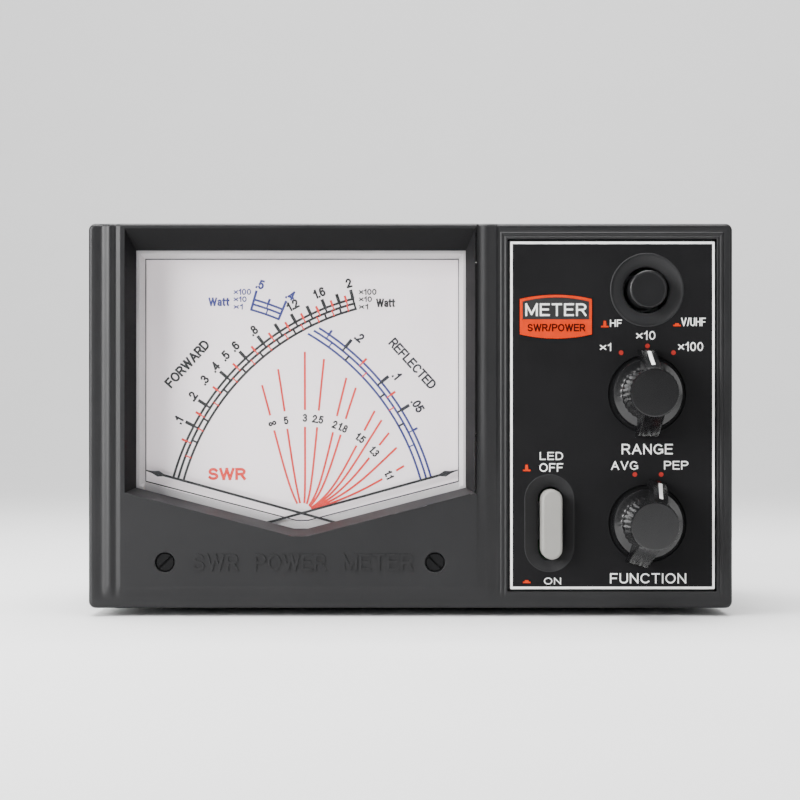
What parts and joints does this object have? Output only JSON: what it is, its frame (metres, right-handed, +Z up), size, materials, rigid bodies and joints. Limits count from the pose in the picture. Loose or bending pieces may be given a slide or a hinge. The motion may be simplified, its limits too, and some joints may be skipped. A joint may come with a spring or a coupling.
{
  "type": "swr meter",
  "caption": "Desktop cross-needle SWR and power meter: wide meter window left, two pointer knobs and two push buttons right, UHF sockets behind.",
  "frame": {"origin": "centre of the bounding box in plan, at the underside of the feet", "axes": "+Z up, +X to the right as the operator sees the front, -Y out of the front face, +Y out of the rear sockets"},
  "size_m": [0.155, 0.1076, 0.0946],
  "materials": {
    "black_abs": "fine satin moulded texture",
    "painted_steel": "satin black powder coat",
    "panel_black": "matte",
    "knob_black": "satin",
    "button_black": "satin",
    "button_grey": "satin",
    "zinc_steel": "zinc plated",
    "aluminium_shaft": "turned",
    "natural_nylon": "satin",
    "circuit_board": "green solder mask",
    "clear_acrylic": "polished clear acrylic",
    "white_plastic": "satin",
    "dial_white": "matte printed",
    "movement_brass": "plain",
    "tinned_steel": "tinned",
    "foot_rubber": "matte",
    "screw_steel": "black zinc",
    "nickel_plate": "nickel plated",
    "ptfe": "waxy",
    "contact_brass": "plated",
    "pointer_black": "matte black",
    "coil_copper": "enamelled winding",
    "magnet_iron": "sintered",
    "soft_iron": "nickel flash"
  },
  "bodies": {
    "housing": {"front_bezel": "black_abs", "top_cover": "painted_steel", "chassis": "painted_steel", "control_panel": "panel_black", "dc_jack": "black_abs", "range_switch": "zinc_steel", "function_switch": "zinc_steel", "band_switch": "zinc_steel", "light_switch": "zinc_steel", "switch_board": "circuit_board", "lamp_board": "circuit_board", "meter_window": "clear_acrylic", "meter_surround": "white_plastic", "dial_plate": "dial_white", "meter_base": "black_abs", "movement_bridge": "movement_brass", "hf_sensor_box": "tinned_steel", "vuhf_sensor_box": "tinned_steel", "foot_1": "foot_rubber", "cover_screw_1": "screw_steel", "foot_2": "foot_rubber", "cover_screw_2": "screw_steel", "foot_3": "foot_rubber", "cover_screw_3": "screw_steel", "foot_4": "foot_rubber", "cover_screw_4": "screw_steel", "hf_tx_socket_shell": "nickel_plate", "hf_tx_socket_insulator": "ptfe", "hf_tx_socket_contact": "contact_brass", "hf_ant_socket_shell": "nickel_plate", "hf_ant_socket_insulator": "ptfe", "hf_ant_socket_contact": "contact_brass", "vuhf_tx_socket_shell": "nickel_plate", "vuhf_tx_socket_insulator": "ptfe", "vuhf_tx_socket_contact": "contact_brass", "vuhf_ant_socket_shell": "nickel_plate", "vuhf_ant_socket_insulator": "ptfe", "vuhf_ant_socket_contact": "contact_brass", "forward_magnet": "magnet_iron", "forward_yoke": "soft_iron", "forward_hairspring": "movement_brass", "reflected_magnet": "magnet_iron", "reflected_yoke": "soft_iron", "reflected_hairspring": "movement_brass"},
    "range_dial": {"range_knob": "knob_black", "range_shaft": "aluminium_shaft"},
    "function_dial": {"function_knob": "knob_black", "function_shaft": "aluminium_shaft"},
    "band_key": {"band_button": "button_black", "band_plunger": "natural_nylon"},
    "light_key": {"light_button": "button_grey", "light_plunger": "natural_nylon"},
    "forward_pointer": {"forward_needle": "pointer_black", "forward_coil": "coil_copper"},
    "reflected_pointer": {"reflected_needle": "pointer_black", "reflected_coil": "coil_copper"},
    "forward_adjuster": {"forward_zero_screw": "black_abs"},
    "reflected_adjuster": {"reflected_zero_screw": "black_abs"},
    "forward_arm": {"forward_zero_arm": "movement_brass"},
    "reflected_arm": {"reflected_zero_arm": "movement_brass"}
  },
  "joints": [
    {"name": "range_turn", "type": "hinge", "parent": "housing", "child": "range_dial", "pos_m": [0.0569, -0.0402, 0.0536], "axis": [0, 1, 0], "range_deg": [-30, 30]},
    {"name": "function_turn", "type": "hinge", "parent": "housing", "child": "function_dial", "pos_m": [0.057, -0.0402, 0.0224], "axis": [0, 1, 0], "range_deg": [-30, 0]},
    {"name": "band_press", "type": "slide", "parent": "housing", "child": "band_key", "axis": [0, 1, 0], "range_m": [0, 0.003], "stiffness_N_per_m": 300},
    {"name": "light_press", "type": "slide", "parent": "housing", "child": "light_key", "axis": [0, 1, 0], "range_m": [0, 0.003], "stiffness_N_per_m": 300},
    {"name": "forward_deflection", "type": "hinge", "parent": "housing", "child": "forward_pointer", "pos_m": [0.00225, -0.0402, 0.0166], "axis": [0, 1, 0], "range_deg": [0, 62], "stiffness_Nm_per_rad": 0.00002, "springref_deg": -20.05},
    {"name": "reflected_deflection", "type": "hinge", "parent": "housing", "child": "reflected_pointer", "pos_m": [-0.05535, -0.0402, 0.0166], "axis": [0, -1, 0], "range_deg": [0, 62], "stiffness_Nm_per_rad": 0.00002, "springref_deg": -20.05},
    {"name": "forward_zero", "type": "hinge", "parent": "housing", "child": "forward_adjuster", "pos_m": [0.0059, -0.0402, 0.0131], "axis": [0, 1, 0], "range_deg": [-40, 40]},
    {"name": "reflected_zero", "type": "hinge", "parent": "housing", "child": "reflected_adjuster", "pos_m": [-0.059, -0.0402, 0.0131], "axis": [0, 1, 0], "range_deg": [-40, 40]},
    {"name": "forward_arm_turn", "type": "hinge", "parent": "housing", "child": "forward_arm", "pos_m": [0.00225, -0.0402, 0.0166], "axis": [0, 1, 0], "range_deg": [-10, 10]},
    {"name": "reflected_arm_turn", "type": "hinge", "parent": "housing", "child": "reflected_arm", "pos_m": [-0.05535, -0.0402, 0.0166], "axis": [0, 1, 0], "range_deg": [-10, 10]}
  ],
  "couplings": [
    {"joint": "forward_arm_turn", "follows": "forward_zero", "ratio": -0.225},
    {"joint": "reflected_arm_turn", "follows": "reflected_zero", "ratio": -0.225}
  ]
}
